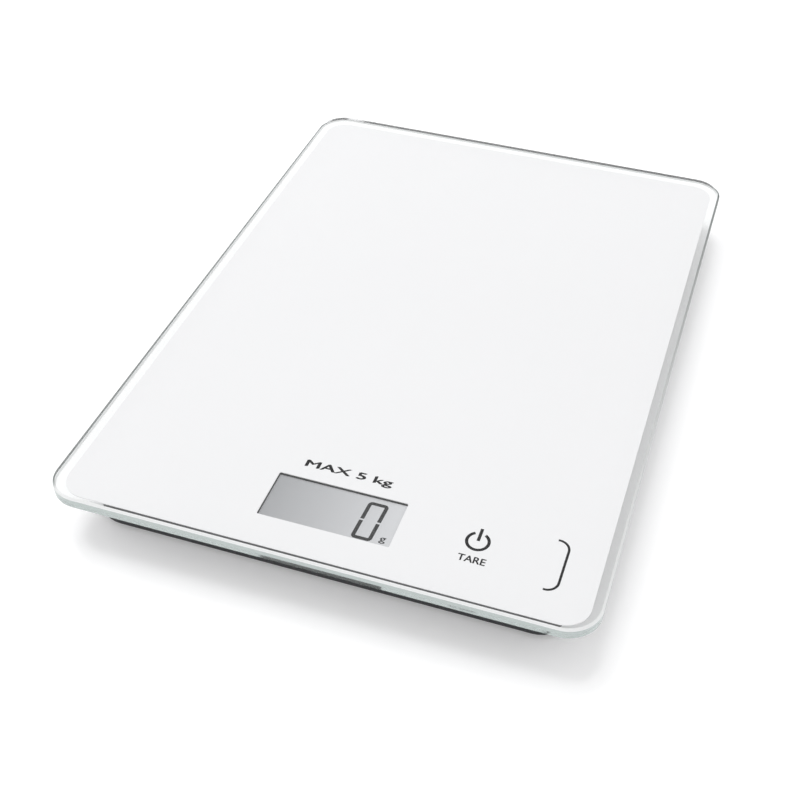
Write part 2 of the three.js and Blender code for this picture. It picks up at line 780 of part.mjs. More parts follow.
function tactSwitch() {
  const body = box(
    ...around(buttonX, switchSize),
    ...around(buttonY, switchSize),
    switchBottom,
    switchBottom + switchHeight,
  );
  const wellTop = switchBottom + switchStemIn + 1.6 * switchStroke;
  const well = disc(buttonX, buttonY, (switchStem + sideGap) / 2, switchBottom - overcut, wellTop);
  return body.subtract(well);
}

function tactStem() {
  return disc(buttonX, buttonY, switchStem / 2, switchBottom - switchStemOut, switchBottom + switchStemIn);
}

function unitButton() {
  const radius = buttonDiameter / 2;
  const low = shellBottom + buttonRecess;
  const flangeLow = floorTop + flatGap;
  const flangeHigh = flangeLow + buttonFlangeThickness;
  const top = switchBottom - switchStemOut - flatGap;
  const button = turned([
    [0, low + 0.35],
    [radius * 0.55, low + 0.2],
    [radius - 0.4, low],
    [radius, low + 0.4],
    [radius, flangeLow],
    [radius + buttonFlange, flangeLow],
    [radius + buttonFlange, flangeHigh],
    [switchStem / 2, flangeHigh],
    [switchStem / 2, top],
    [0, top],
  ]);
  return button.translate([buttonX, buttonY, 0]);
}

// Two glasses. The upper one runs on past the lower one at the rear, and has the contacts on its underside.
function displayCell() {
  const across = around(0, displayWidth);
  const [front, rear] = around(displayY, displayLength);
  const seam = displayTop - displaySheet;
  const upper = box(...across, front, rear, seam, displayTop);
  return upper.add(box(...across, front, rear - displayLedge, displayBottom, seam + flatGap));
}

function displayHolder() {
  const low = boardTop + flatGap;
  const high = displayTop - displaySheet / 2;
  const width = displayWidth + 2 * sideGap;
  const length = displayLength + 2 * sideGap;
  const [front, rear] = around(displayY, length);
  const frame = slab(holderWidth, holderLength, 1, low, high, 0, displayY, 2);
  const pocket = box(...around(0, width), front, rear, displayBottom - flatGap, high + overcut);
  const wellAcross = around(0, width - 2 * holderShelf);
  const well = box(...wellAcross, front + holderShelf, rear - sideGap, low - overcut, displayTop);
  return without(frame, pocket, well);
}

// A frame of foam round the window, between the display and the printed film.
function displayGasket() {
  const low = displayTop + flatGap;
  const high = filmBottom - flatGap;
  const across = around(0, windowWidth + 2 * sideGap);
  const along = around(windowY, windowLength + 2 * sideGap);
  const outer = slab(displayWidth, displayLength, 1, low, high, 0, displayY, 2);
  return outer.subtract(box(...across, ...along, low - overcut, high + overcut));
}

function zebraStrip() {
  const middle = displayY + displayLength / 2 - displayLedge / 2;
  const low = boardTop + flatGap;
  return box(...around(0, windowWidth), ...around(middle, zebraWidth), low, low + zebraHeight);
}

function touchSpring() {
  const low = boardTop + flatGap + touchSpringWire / 2;
  const high = tapeTop - electrodeThickness - flatGap - touchSpringWire / 2;
  const middle = touchSpringDiameter - touchSpringWire;
  const path = new Coil(middle, middle, high - low, touchSpringTurns);
  return solid(tube(path, touchSpringWire, 30, 6)).translate([touchSpringX, keyY, low]);
}

// Finishes
function finish(color, roughness, metalness = 0) {
  return new THREE.MeshStandardMaterial({ color, roughness, metalness });
}

const clearGlass = finish(0xdfeeea, 0.05);
const whitePrint = finish(0xf3f3f5, 0.45);
const greyFoam = finish(0xb9babd, 0.9);
const darkHousing = finish(0x2b2c2e, 0.6);
const blackRubber = finish(0x1b1b1c, 0.9);
const sensorSteel = finish(0xb4b7ba, 0.35, 1);
const springSteel = finish(0xc8ccd0, 0.25, 1);
const greenBoard = finish(0x1f5a38, 0.5);
const blackResin = finish(0x101011, 0.4);
const displayGrey = finish(0xbfc0c3, 0.3);
const whitePlastic = finish(0xe6e6e4, 0.5);
const greyPlastic = finish(0xb9babd, 0.5);
const copperFoil = finish(0xb87848, 0.35, 1);
const cellSleeve = finish(0x3f6f8f, 0.35);
const greyCable = finish(0x8c8e91, 0.6);
const redWire = finish(0xa8211c, 0.5);
const blackWire = finish(0x151516, 0.5);

// Assembly
const scale = new THREE.Group();

function place(name, shape, material, parent = scale) {
  const mesh = new THREE.Mesh(geometryOf(shape), material);
  mesh.name = name;
  parent.add(mesh);
  return mesh;
}

place("glass_plate", glassPlate(), clearGlass);
place("decor_film", decorFilm(), whitePrint);
place("adhesive_sheet", adhesiveSheet(), greyFoam);
place("carrier_plate", carrierPlate(), darkHousing);
place("lower_shell", lowerShell(), darkHousing);
place("battery_door", batteryDoor(), darkHousing);

[-1, 1, -1].forEach((towards, index) => {
  place("battery_" + (index + 1), batteryCell(index + 1, towards), cellSleeve);
});
place("contact_positive", contactPlate(-1, 1, 1), springSteel);
place("contact_bridge_right", contactPlate(1, 1, 2).add(contactSpring(1, 1)), springSteel);
place("contact_bridge_left", contactPlate(-1, 2, 3).add(contactSpring(-1, 2)), springSteel);
place("contact_negative", contactPlate(1, 3, 3).add(contactSpring(1, 3)), springSteel);

for (const [corner, sx, sy] of corners) {
  const station = new THREE.Group();
  station.position.set(sx * footX, sy * footY, 0);
  scale.add(station);
  place("foot_" + corner, foot(), darkHousing, station);
  place("foot_pad_" + corner, footPad(), blackRubber, station);
  place("load_cell_" + corner, loadCell(), sensorSteel, station);
  place("load_cell_retainer_" + corner, loadCellRetainer(-sx), whitePlastic, station);
  place("sensor_cable_" + corner, sy > 0 ? rearCable(sx) : frontCable(sx), greyCable);
}

place("circuit_board", circuitBoard(), greenBoard);
place("controller_chip", controllerChip(), blackResin);
place("tact_switch", tactSwitch(), blackResin);
place("tact_stem", tactStem(), whitePlastic);
place("unit_button", unitButton(), greyPlastic);
place("display_cell", displayCell(), displayGrey);
place("display_holder", displayHolder(), whitePlastic);
place("display_gasket", displayGasket(), blackRubber);
place("zebra_strip", zebraStrip(), blackRubber);
place("touch_electrode", touchElectrode(), copperFoil);
place("touch_spring", touchSpring(), springSteel);
place("battery_lead_positive", batteryLead(-1), redWire);
place("battery_lead_negative", batteryLead(1), blackWire);

housingScrews.forEach(([x, y], index) => {
  place("housing_screw_" + (index + 1), housingScrew(), springSteel).position.set(x, y, 0);
});
boardScrews.forEach(([x, y], index) => {
  place("board_screw_" + (index + 1), boardScrew(), springSteel).position.set(x, y, 0);
});

export default scale;
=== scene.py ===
# Flat kitchen scale with a glass weighing plate: its looks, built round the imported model.
# Metres, +Z up. The display edge faces -Y, and the glass hides the housing from above.
import math
import bmesh
import bpy
from mathutils import Matrix, Vector


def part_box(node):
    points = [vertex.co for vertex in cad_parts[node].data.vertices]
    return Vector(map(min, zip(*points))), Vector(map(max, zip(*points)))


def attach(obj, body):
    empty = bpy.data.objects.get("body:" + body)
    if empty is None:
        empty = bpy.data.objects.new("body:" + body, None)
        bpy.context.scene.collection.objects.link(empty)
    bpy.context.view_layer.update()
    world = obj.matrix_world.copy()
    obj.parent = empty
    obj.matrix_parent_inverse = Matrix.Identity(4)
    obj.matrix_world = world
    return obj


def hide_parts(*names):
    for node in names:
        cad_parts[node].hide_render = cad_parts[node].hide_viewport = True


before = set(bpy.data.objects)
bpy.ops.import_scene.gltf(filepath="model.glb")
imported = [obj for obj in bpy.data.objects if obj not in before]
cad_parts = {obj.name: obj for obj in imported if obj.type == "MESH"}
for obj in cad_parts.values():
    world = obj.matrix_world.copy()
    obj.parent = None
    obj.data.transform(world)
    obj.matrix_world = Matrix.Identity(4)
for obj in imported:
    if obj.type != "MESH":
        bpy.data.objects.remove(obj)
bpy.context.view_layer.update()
scene = bpy.context.scene
mm = 0.001
print("frame loaded:", len(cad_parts), "nodes")


# ---- shared mesh tools

def slabBetween(low, high, radius, steps=10):
    # an upright slab with rounded corners, filling the box from low to high
    bm = bmesh.new()
    size = Vector(high) - Vector(low)
    middle = (Vector(high) + Vector(low)) / 2
    corners = bmesh.ops.create_grid(bm, x_segments=1, y_segments=1, size=0.5)["verts"]
    bmesh.ops.scale(bm, vec=(size.x, size.y, 1), verts=corners)
    bmesh.ops.translate(bm, vec=(middle.x, middle.y, low[2]), verts=corners)
    if radius:
        bmesh.ops.bevel(bm, geom=corners, offset=radius, segments=steps, profile=0.5,
                        affect="VERTICES", material=-1)
    raised = bmesh.ops.extrude_face_region(bm, geom=bm.faces[:])["geom"]
    topVerts = [item for item in raised if isinstance(item, bmesh.types.BMVert)]
    bmesh.ops.translate(bm, vec=(0, 0, size.z), verts=topVerts)
    bmesh.ops.recalc_face_normals(bm, faces=bm.faces)
    return bm


def levelEdges(bm, levels):
    # the edges that lie flat at one of these heights
    return [edge for edge in bm.edges
            if any(all(abs(vert.co.z - level) < 1e-6 for vert in edge.verts) for level in levels)]


def softenEdges(bm, edges, width, steps=2):
    bmesh.ops.bevel(bm, geom=edges, offset=width, segments=steps, profile=0.5,
                    affect="EDGES", material=-1)


def turnedAbout(centre, profile, steps=64):
    # a turned body: the profile's (radius, height) points spun a full turn about a vertical axis
    bm = bmesh.new()
    verts = [bm.verts.new((centre[0] + radius, centre[1], height)) for radius, height in profile]
    edges = [bm.edges.new(pair) for pair in zip(verts, verts[1:])]
    bmesh.ops.spin(bm, geom=verts + edges, cent=(centre[0], centre[1], 0), axis=(0, 0, 1),
                   angle=2 * math.pi, steps=steps, use_merge=True)
    bmesh.ops.remove_doubles(bm, verts=bm.verts, dist=1e-6)
    bmesh.ops.recalc_face_normals(bm, faces=bm.faces)
    return bm


def softenCorners(bm, width, sharpest=40, steps=2):
    # rounds every edge that turns by more than the angle given
    turning = [edge for edge in bm.edges
               if edge.is_manifold and edge.calc_face_angle() > math.radians(sharpest)]
    softenEdges(bm, turning, width, steps)


def strokeAlong(start, heading, width, low, high, moves):
    # a flat stroke: an upright cross-section pushed through straight runs and turns, in order
    bm = bmesh.new()
    section = bmesh.ops.create_grid(bm, x_segments=1, y_segments=1, size=0.5)["verts"]
    bmesh.ops.scale(bm, vec=(width, high - low, 1), verts=section)
    bmesh.ops.rotate(bm, cent=(0, 0, 0), matrix=Matrix.Rotation(math.pi / 2, 3, "X"), verts=section)
    bmesh.ops.rotate(bm, cent=(0, 0, 0), matrix=Matrix.Rotation(heading - math.pi / 2, 3, "Z"),
                     verts=section)
    bmesh.ops.translate(bm, vec=(start[0], start[1], (low + high) / 2), verts=section)
    place = Vector((start[0], start[1], 0))
    endFace = bm.faces[:]
    for move in moves:
        ahead = Vector((math.cos(heading), math.sin(heading), 0))
        if move[0] == "run":
            grown = bmesh.ops.extrude_face_region(bm, geom=endFace)["geom"]
            newVerts = [item for item in grown if isinstance(item, bmesh.types.BMVert)]
            bmesh.ops.translate(bm, vec=ahead * move[1], verts=newVerts)
            place += ahead * move[1]
        else:
            radius, angle = move[1], move[2]
            side = Vector((-ahead.y, ahead.x, 0)) * math.copysign(radius, angle)
            turnCentre = place + side
            spun = bmesh.ops.spin(bm, geom=endFace, cent=turnCentre, axis=(0, 0, 1), angle=angle,
                                  steps=max(3, int(abs(angle) * 10)))
            grown = spun["geom_last"]
            place = turnCentre + Matrix.Rotation(angle, 3, "Z") @ -side
            heading += angle
        endFace = [item for item in grown if isinstance(item, bmesh.types.BMFace)]
    bmesh.ops.recalc_face_normals(bm, faces=bm.faces)
    return bm


def textMesh(words, width, height, centre, low, high, boldness):
    # raised letters, fitted to a width and a height
    curve = bpy.data.curves.new(words, "FONT")
    curve.body = words
    curve.extrude = 0.5
    curve.resolution_u = 6
    holder = bpy.data.objects.new(words, curve)
    scene.collection.objects.link(holder)
    bpy.context.view_layer.update()
    letters = bpy.data.meshes.new_from_object(holder.evaluated_get(bpy.context.evaluated_depsgraph_get()))
    bpy.data.objects.remove(holder)
    bm = bmesh.new()
    bm.from_mesh(letters)
    bmesh.ops.remove_doubles(bm, verts=bm.verts, dist=1e-5)
    least = [min(vert.co[axis] for vert in bm.verts) for axis in range(3)]
    most = [max(vert.co[axis] for vert in bm.verts) for axis in range(3)]
    bmesh.ops.translate(bm, vec=[-(a + b) / 2 for a, b in zip(least, most)], verts=bm.verts)
    wanted = (width, height, high - low)
    scale = [size / (b - a) for size, a, b in zip(wanted, least, most)]
    bmesh.ops.scale(bm, vec=scale, verts=bm.verts)
    bmesh.ops.translate(bm, vec=(centre[0], centre[1], (low + high) / 2), verts=bm.verts)
    if boldness:
        again = bmesh.ops.duplicate(bm, geom=bm.verts[:] + bm.edges[:] + bm.faces[:])["geom"]
        verts = [item for item in again if isinstance(item, bmesh.types.BMVert)]
        bmesh.ops.translate(bm, vec=(boldness, boldness / 2, (high - low) / 10), verts=verts)
    return bm


def joinedInto(target, other):
    # moves one bmesh's geometry into another
    part = bpy.data.meshes.new("part")
    other.to_mesh(part)
    other.free()
    target.from_mesh(part)
    bpy.data.meshes.remove(part)


def pieceFrom(bm, name, material, body, nodes=(), sharp=35):
    mesh = bpy.data.meshes.new(name)
    bm.to_mesh(mesh)
    bm.free()
    mesh.materials.append(material)
    mesh.shade_smooth()
    mesh.set_sharp_from_angle(angle=math.radians(sharp))
    piece = bpy.data.objects.new(name, mesh)
    scene.collection.objects.link(piece)
    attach(piece, body)
    if nodes:
        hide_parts(*nodes)
    return piece


# ---- shader effects that several materials share

def groupShell(name, inputs, outputs):
    # an empty node group with named sockets
    group = bpy.data.node_groups.new(name, "ShaderNodeTree")
    for label, kind, value in inputs:
        socket = group.interface.new_socket(label, in_out="INPUT", socket_type=kind)
        socket.default_value = value
    for label, kind in outputs:
        group.interface.new_socket(label, in_out="OUTPUT", socket_type=kind)
    return group, group.nodes.new("NodeGroupInput"), group.nodes.new("NodeGroupOutput")


def mathNode(tree, operation, first, second):
    node = tree.nodes.new("ShaderNodeMath")
    node.operation = operation
    for socket, value in zip(node.inputs, (first, second)):
        if isinstance(value, (int, float)):
            socket.default_value = value
        else:
            tree.links.new(value, socket)
    return node.outputs[0]


def makeToneShift():
    # cloudy change of tone over a surface
    group, given, result = groupShell(
        "toneShift",
        [("Colour", "NodeSocketColor", (1, 1, 1, 1)), ("Scale", "NodeSocketFloat", 20),
         ("Amount", "NodeSocketFloat", 0.05)],
        [("Colour", "NodeSocketColor"), ("Cloud", "NodeSocketFloat")])
    coords = group.nodes.new("ShaderNodeTexCoord")
    noise = group.nodes.new("ShaderNodeTexNoise")
    noise.inputs["Detail"].default_value = 4
    bright = group.nodes.new("ShaderNodeHueSaturation")
    group.links.new(coords.outputs["Object"], noise.inputs["Vector"])
    group.links.new(given.outputs["Scale"], noise.inputs["Scale"])
    centred = mathNode(group, "SUBTRACT", noise.outputs["Fac"], 0.5)
    shift = mathNode(group, "MULTIPLY", centred, given.outputs["Amount"])
    group.links.new(mathNode(group, "ADD", shift, 1), bright.inputs["Value"])
    group.links.new(given.outputs["Colour"], bright.inputs["Color"])
    group.links.new(bright.outputs["Color"], result.inputs["Colour"])
    group.links.new(noise.outputs["Fac"], result.inputs["Cloud"])
    return group


def makeMouldGrain():
    # fine spark-eroded grain of a moulding, as a height
    group, given, result = groupShell(
        "mouldGrain", [("Scale", "NodeSocketFloat", 1500)], [("Height", "NodeSocketFloat")])
    coords = group.nodes.new("ShaderNodeTexCoord")
    noise = group.nodes.new("ShaderNodeTexNoise")
    noise.inputs["Detail"].default_value = 3
    cells = group.nodes.new("ShaderNodeTexVoronoi")
    for texture in (noise, cells):
        group.links.new(coords.outputs["Object"], texture.inputs["Vector"])
        group.links.new(given.outputs["Scale"], texture.inputs["Scale"])
    group.links.new(mathNode(group, "ADD", noise.outputs["Fac"], cells.outputs["Distance"]),
                    result.inputs["Height"])
    return group


def makeHandling():
    # rubbed and smudged patches, as a roughness
    group, given, result = groupShell(
        "handling",
        [("Roughness", "NodeSocketFloat", 0.4), ("Scale", "NodeSocketFloat", 35),
         ("Amount", "NodeSocketFloat", 0.1)],
        [("Roughness", "NodeSocketFloat")])
    coords = group.nodes.new("ShaderNodeTexCoord")
    noise = group.nodes.new("ShaderNodeTexNoise")
    noise.inputs["Detail"].default_value = 5
    noise.inputs["Distortion"].default_value = 0.8
    group.links.new(coords.outputs["Object"], noise.inputs["Vector"])
    group.links.new(given.outputs["Scale"], noise.inputs["Scale"])
    centred = mathNode(group, "SUBTRACT", noise.outputs["Fac"], 0.5)
    shift = mathNode(group, "MULTIPLY", centred, given.outputs["Amount"])
    group.links.new(mathNode(group, "ADD", shift, given.outputs["Roughness"]), result.inputs["Roughness"])
    return group


toneShift = makeToneShift()
mouldGrain = makeMouldGrain()
handling = makeHandling()
print("shader groups made")


# ---- materials

def coatedMaterial(name, colour, roughness, cloud=(25, 0.06), smudge=(35, 0.08), metallic=0.0,
                   grain=None, bump=0.0, clearcoat=0.0, sheen=0.0, specular=0.5):
    # a solid finish: a base colour with drifting tone, handling marks and, if wanted, a fine grain
    material = bpy.data.materials.new(name)
    material.use_nodes = True
    tree = material.node_tree
    surface = tree.nodes["Principled BSDF"]
    tone = tree.nodes.new("ShaderNodeGroup")
    tone.node_tree = toneShift
    tone.inputs["Colour"].default_value = (*colour, 1)
    tone.inputs["Scale"].default_value, tone.inputs["Amount"].default_value = cloud
    tree.links.new(tone.outputs["Colour"], surface.inputs["Base Color"])
    rub = tree.nodes.new("ShaderNodeGroup")
    rub.node_tree = handling
    rub.inputs["Roughness"].default_value = roughness
    rub.inputs["Scale"].default_value, rub.inputs["Amount"].default_value = smudge
    tree.links.new(rub.outputs["Roughness"], surface.inputs["Roughness"])
    surface.inputs["Metallic"].default_value = metallic
    surface.inputs["Coat Weight"].default_value = clearcoat
    surface.inputs["Specular IOR Level"].default_value = specular
    surface.inputs["Sheen Weight"].default_value = sheen
    if grain:
        texture = tree.nodes.new("ShaderNodeGroup")
        texture.node_tree = mouldGrain
        texture.inputs["Scale"].default_value = grain
        relief = tree.nodes.new("ShaderNodeBump")
        relief.inputs["Strength"].default_value = bump
        relief.inputs["Distance"].default_value = 0.0001
        tree.links.new(texture.outputs["Height"], relief.inputs["Height"])
        tree.links.new(relief.outputs["Normal"], surface.inputs["Normal"])
    return material


def makeGlass(name, tint, roughness):
    # toughened glass that lets lamps through to the print under it
    material = bpy.data.materials.new(name)
    material.use_nodes = True
    tree = material.node_tree
    surface = tree.nodes["Principled BSDF"]
    surface.inputs["Base Color"].default_value = (*tint, 1)
    surface.inputs["Roughness"].default_value = roughness
    surface.inputs["IOR"].default_value = 1.52
    surface.inputs["Specular IOR Level"].default_value = 0.2
    surface.inputs["Transmission Weight"].default_value = 1.0
    through = tree.nodes.new("ShaderNodeBsdfTransparent")
    through.inputs["Color"].default_value = (0.98, 0.985, 0.985, 1)
    rays = tree.nodes.new("ShaderNodeLightPath")
    lampMix = tree.nodes.new("ShaderNodeMixShader")
    glowMix = tree.nodes.new("ShaderNodeMixShader")
    tree.links.new(rays.outputs["Is Shadow Ray"], lampMix.inputs[0])
    tree.links.new(surface.outputs[0], lampMix.inputs[1])
    tree.links.new(through.outputs[0], lampMix.inputs[2])
    tree.links.new(rays.outputs["Is Diffuse Ray"], glowMix.inputs[0])
    tree.links.new(lampMix.outputs[0], glowMix.inputs[1])
    tree.links.new(through.outputs[0], glowMix.inputs[2])
    tree.links.new(glowMix.outputs[0], tree.nodes["Material Output"].inputs["Surface"])
    return material


def makeDisplayFaceWithPaintedReflection():
    # display face: grey, with a painted reflection that makes it paler towards its right end
    material = coatedMaterial("displayFacePaintedReflection", (0.4, 0.4, 0.41), 0.35, specular=0.3)
    tree = material.node_tree
    coords = tree.nodes.new("ShaderNodeTexCoord")
    parts = tree.nodes.new("ShaderNodeSeparateXYZ")
    paintedReflectionFade = tree.nodes.new("ShaderNodeMapRange")
    paintedReflectionFade.inputs["From Min"].default_value = -20 * mm
    paintedReflectionFade.inputs["From Max"].default_value = 20 * mm
    paintedReflectionMix = tree.nodes.new("ShaderNodeMix")
    paintedReflectionMix.data_type = "RGBA"
    # painted reflection: darker grey at the left end, paler grey at the right end
    paintedReflectionMix.inputs[6].default_value = (0.37, 0.37, 0.385, 1)
    paintedReflectionMix.inputs[7].default_value = (0.68, 0.675, 0.695, 1)
    tree.links.new(coords.outputs["Object"], parts.inputs[0])
    tree.links.new(parts.outputs["X"], paintedReflectionFade.inputs["Value"])
    tree.links.new(paintedReflectionFade.outputs[0], paintedReflectionMix.inputs[0])
    tree.links.new(paintedReflectionMix.outputs[2], tree.nodes["Principled BSDF"].inputs["Base Color"])
    return material


def makeArrisWithPaintedReflection():
    # frosted where it is looked at squarely, with a painted dark reflection where it is seen along its
    # length
    material = coatedMaterial("groundArrisPaintedReflection", (0.93, 0.94, 0.94), 0.5, grain=3000, bump=0.3)
    tree = material.node_tree
    slant = tree.nodes.new("ShaderNodeLayerWeight")
    slant.inputs["Blend"].default_value = 0.5
    shade = tree.nodes.new("ShaderNodeMapRange")
    shade.interpolation_type = "SMOOTHSTEP"
    shade.inputs["From Min"].default_value = 0.35
    shade.inputs["From Max"].default_value = 0.7
    paintedReflectionMix = tree.nodes.new("ShaderNodeMix")
    paintedReflectionMix.data_type = "RGBA"
    paintedReflectionMix.inputs[6].default_value = (0.93, 0.94, 0.94, 1)
    # painted reflection: the dark colour the arris takes when seen along its length, picked by the
    # view-angle mask above
    paintedReflectionMix.inputs[7].default_value = (0.12, 0.14, 0.135, 1)
    tree.links.new(slant.outputs["Facing"], shade.inputs["Value"])
    tree.links.new(shade.outputs[0], paintedReflectionMix.inputs[0])
    tree.links.new(paintedReflectionMix.outputs[2], tree.nodes["Principled BSDF"].inputs["Base Color"])
    return material


finishes = {
    "clearGlass": makeGlass("clearGlass", (0.935, 0.945, 0.943), 0.0),
    "groundGlass": makeGlass("groundGlass", (0.28, 0.35, 0.33), 0.2),
    "groundArrisPaintedReflection": makeArrisWithPaintedReflection(),
    "whitePrint": coatedMaterial("whitePrint", (0.87, 0.863, 0.874), 0.45, cloud=(9, 0.03)),
    "blackInk": coatedMaterial("blackInk", (0.006, 0.006, 0.007), 0.6, specular=0.1),
    "foamTape": coatedMaterial("foamTape", (0.45, 0.45, 0.46), 0.9, grain=2600, bump=0.5),
    "darkPlastic": coatedMaterial("darkPlastic", (0.035, 0.036, 0.039), 0.48, cloud=(30, 0.25),
                                  smudge=(60, 0.2), grain=1800, bump=0.4, specular=0.35),
    "paleInk": coatedMaterial("paleInk", (0.55, 0.55, 0.54), 0.6),
    "rubberPad": coatedMaterial("rubberPad", (0.016, 0.016, 0.017), 0.75, cloud=(60, 0.3),
                                grain=2400, bump=0.5, sheen=0.15),
    "sensorSteel": coatedMaterial("sensorSteel", (0.5, 0.51, 0.52), 0.35, metallic=1.0,
                                  grain=4000, bump=0.1),
    "springSteel": coatedMaterial("springSteel", (0.62, 0.63, 0.64), 0.22, metallic=1.0),
    "whitePlastic": coatedMaterial("whitePlastic", (0.75, 0.75, 0.73), 0.5, grain=1600, bump=0.2),
    "buttonPlastic": coatedMaterial("buttonPlastic", (0.4, 0.41, 0.42), 0.45, grain=1800, bump=0.25),
    "boardMask": coatedMaterial("boardMask", (0.012, 0.1, 0.045), 0.3, cloud=(90, 0.4), clearcoat=0.4),
    "pottingResin": coatedMaterial("pottingResin", (0.008, 0.008, 0.009), 0.25, cloud=(200, 0.5)),
    "displayGlass": coatedMaterial("displayGlass", (0.36, 0.365, 0.37), 0.3, cloud=(40, 0.03)),
    "displayFacePaintedReflection": makeDisplayFaceWithPaintedReflection(),
    "displayInk": coatedMaterial("displayInk", (0.009, 0.009, 0.01), 0.6, specular=0.1),
    "copperFoil": coatedMaterial("copperFoil", (0.6, 0.3, 0.15), 0.35, metallic=1.0, cloud=(120, 0.4)),
    "cellSleeve": coatedMaterial("cellSleeve", (0.05, 0.16, 0.26), 0.3, clearcoat=0.5),
    "cellBand": coatedMaterial("cellBand", (0.5, 0.27, 0.12), 0.3, metallic=0.8),
    "greyCable": coatedMaterial("greyCable", (0.26, 0.27, 0.28), 0.55),
    "redWire": coatedMaterial("redWire", (0.4, 0.02, 0.015), 0.5),
    "blackWire": coatedMaterial("blackWire", (0.01, 0.01, 0.011), 0.5),
}
print("materials made:", len(finishes))


# ---- camera, light and floor

view = {
    "azimuth": 17.857,  # degrees from straight in front, towards +X
    "elevation": 42.063,
    "roll": 0.74,
    "place": (95.9 * mm, -312.05 * mm, 275.3 * mm),
    "lens": 56.37,
    "shift": -0.0215,
}


def addCamera():
    lensData = bpy.data.cameras.new("viewCamera")
    lensData.lens = view["lens"]
    lensData.sensor_width = 36
    lensData.shift_x = view["shift"]
    lensData.clip_start = 0.01
    camera = bpy.data.objects.new("viewCamera", lensData)
    azimuth, elevation, roll = (math.radians(view[key]) for key in ("azimuth", "elevation", "roll"))
    back = Vector((math.sin(azimuth) * math.cos(elevation), -math.cos(azimuth) * math.cos(elevation),
                   math.sin(elevation)))
    right = Vector((0, 0, 1)).cross(back).normalized()
    turn = Matrix((right, back.cross(right), back)).transposed() @ Matrix.Rotation(roll, 3, "Z")
    camera.matrix_world = Matrix.Translation(view["place"]) @ turn.to_4x4()
    scene.collection.objects.link(camera)
    scene.camera = camera


studio = {
    "floorReach": 4.0,
    "floorDrop": 0.02 * mm,  # the floor lies this far under the pads
    "floorColour": (0.87, 0.87, 0.875, 1),
    "floorGlow": 0.2,  # the background is lit on its own, as on a light table
    "worldStrength": 0.82,
    "duskLevel": 0.05,  # the studio is darker round the horizon, which draws the glass's edges
    "duskTop": 0.45,
    "keyPlace": (-0.5, 0.4, 1.4),
    "keySize": 0.55,
    "keyPower": 9.5,
}


def addStudio():
    bm = bmesh.new()
    bmesh.ops.create_grid(bm, x_segments=1, y_segments=1, size=studio["floorReach"],
                          matrix=Matrix.Translation((0, 0, -studio["floorDrop"])))
    floorMesh = bpy.data.meshes.new("floor")
    bm.to_mesh(floorMesh)
    bm.free()
    floorFinish = bpy.data.materials.new("floorFinish")
    floorFinish.use_nodes = True
    surface = floorFinish.node_tree.nodes["Principled BSDF"]
    surface.inputs["Base Color"].default_value = studio["floorColour"]
    surface.inputs["Roughness"].default_value = 0.9
    surface.inputs["Specular IOR Level"].default_value = 0.1
    surface.inputs["Emission Color"].default_value = (1, 1, 1, 1)
    surface.inputs["Emission Strength"].default_value = studio["floorGlow"]
    floorMesh.materials.append(floorFinish)
    floor = bpy.data.objects.new("floor", floorMesh)
    scene.collection.objects.link(floor)
    world = bpy.data.worlds.new("studioWorld")
    world.use_nodes = True
    tree = world.node_tree
    tree.nodes["Background"].inputs["Strength"].default_value = studio["worldStrength"]
    coords = tree.nodes.new("ShaderNodeTexCoord")
    parts = tree.nodes.new("ShaderNodeSeparateXYZ")
    rise = tree.nodes.new("ShaderNodeMapRange")
    rise.interpolation_type = "SMOOTHSTEP"
    rise.inputs["From Max"].default_value = studio["duskTop"]
    rise.inputs["To Min"].default_value = studio["duskLevel"]
    tree.links.new(coords.outputs["Generated"], parts.inputs[0])
    tree.links.new(parts.outputs["Z"], rise.inputs["Value"])
    tree.links.new(rise.outputs[0], tree.nodes["Background"].inputs["Color"])
    # looked at directly, the studio is as white as its floor
    backdrop = tree.nodes.new("ShaderNodeBackground")
    backdrop.inputs["Color"].default_value = (1, 1, 1, 1)
    rays = tree.nodes.new("ShaderNodeLightPath")
    seen = tree.nodes.new("ShaderNodeMixShader")
    tree.links.new(rays.outputs["Is Camera Ray"], seen.inputs[0])
    tree.links.new(tree.nodes["Background"].outputs[0], seen.inputs[1])
    tree.links.new(backdrop.outputs[0], seen.inputs[2])
    tree.links.new(seen.outputs[0], tree.nodes["World Output"].inputs["Surface"])
    scene.world = world
    lamp = bpy.data.lights.new("keyLight", "AREA")
    lamp.size = studio["keySize"]
    lamp.energy = studio["keyPower"]
    key = bpy.data.objects.new("keyLight", lamp)
    key.location = studio["keyPlace"]
    key.rotation_mode = "QUATERNION"
    key.rotation_quaternion = (-Vector(studio["keyPlace"])).to_track_quat("-Z", "Y")
    key.visible_glossy = key.visible_transmission = False
    scene.collection.objects.link(key)
    scene.view_settings.view_transform = "Standard"


addCamera()
addStudio()
print("camera, floor and light made")


# ---- glass plate

glassPlate = {
    "cornerRadius": 10 * mm,
    "arris": 0.65 * mm,
    "cornerSteps": 20,
    "arrisSteps": 1,
    "sharp": 15,  # degrees: keeps the clear faces flat-shaded right up to the arris
    "sideBelow": 0.1,  # faces whose normal rises less than this are the ground sides
    "arrisBelow": 0.95,  # and those under this are the arris
}


def addGlassPlate():
    low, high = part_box("glass_plate")
    bm = slabBetween(low, high, glassPlate["cornerRadius"], glassPlate["cornerSteps"])
    softenEdges(bm, levelEdges(bm, (low.z, high.z)), glassPlate["arris"], glassPlate["arrisSteps"])
    bm.normal_update()
    for face in bm.faces:
        steepness = abs(face.normal.z)
        if steepness < glassPlate["sideBelow"]:
            face.material_index = 1
        elif steepness < glassPlate["arrisBelow"]:
            face.material_index = 2
    plate = pieceFrom(bm, "glassPlate", finishes["clearGlass"], "housing", ["glass_plate"],
                      glassPlate["sharp"])
    plate.data.materials.append(finishes["groundGlass"])
    plate.data.materials.append(finishes["groundArrisPaintedReflection"])


addGlassPlate()


